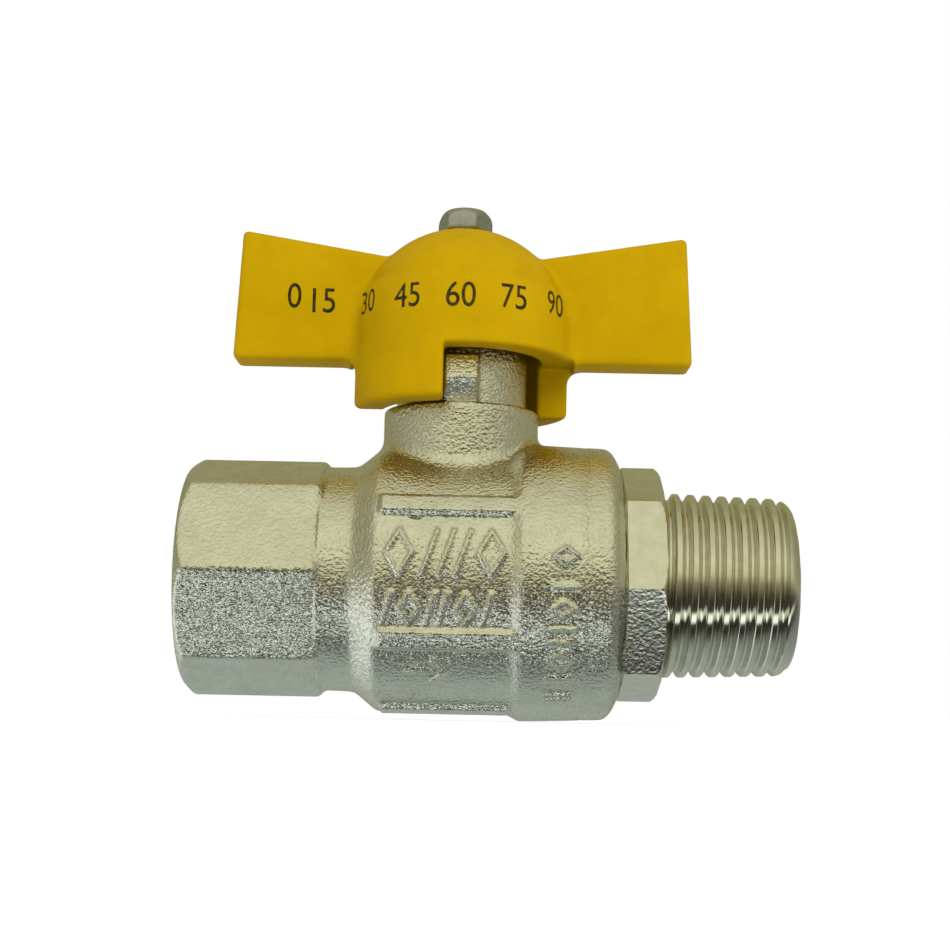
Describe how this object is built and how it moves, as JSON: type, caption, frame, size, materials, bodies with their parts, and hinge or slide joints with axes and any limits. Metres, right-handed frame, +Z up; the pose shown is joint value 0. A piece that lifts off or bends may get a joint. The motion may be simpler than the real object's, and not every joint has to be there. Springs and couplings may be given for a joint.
{
  "type": "ball valve",
  "caption": "Two-way ball valve with an octagon-ended female thread, a tapered male thread and a winged quarter-turn handle.",
  "frame": {"origin": "centre of the ball, where the pipe axis and the stem axis meet", "axes": "+X along the pipe towards the male thread, +Z up the stem towards the handle"},
  "size_m": [0.0693, 0.032, 0.0601],
  "materials": {
    "cast_nickel": "blasted forged brass, nickel plated, satin with a fine grain",
    "machined_nickel": "machined brass, nickel plated, bright",
    "ball_chrome": "polished hard chrome on brass",
    "seat_ptfe": "white PTFE, smooth",
    "stem_brass": "turned brass, bare",
    "seal_rubber": "black nitrile rubber",
    "handle_paint": "die casting, golden yellow gloss paint",
    "screw_zinc": "steel, zinc plated, dull",
    "scale_ink": "black pad-printed ink, thin and slightly worn"
  },
  "bodies": {
    "body_set": {"valve_body": "cast_nickel", "end_connector": "machined_nickel", "body_seal_ring": "seal_rubber", "seat_ring_inlet": "seat_ptfe", "seat_ring_outlet": "seat_ptfe", "stem_thrust_washer": "seat_ptfe"},
    "handle_set": {"handle": "handle_paint", "handle_screw": "screw_zinc", "stem": "stem_brass", "stem_o_ring_lower": "seal_rubber", "stem_o_ring_upper": "seal_rubber"},
    "ball_set": {"ball": "ball_chrome"}
  },
  "joints": [
    {"name": "handle_turn", "type": "hinge", "parent": "body_set", "child": "handle_set", "pos_m": [0, 0, 0.0285], "axis": [0, 0, 1], "range_deg": [-90, 0]},
    {"name": "ball_turn", "type": "hinge", "parent": "body_set", "child": "ball_set", "pos_m": [0, 0, 0], "axis": [0, 0, 1], "range_deg": [-90, 0]}
  ],
  "couplings": [
    {"joint": "ball_turn", "follows": "handle_turn", "ratio": 1}
  ]
}
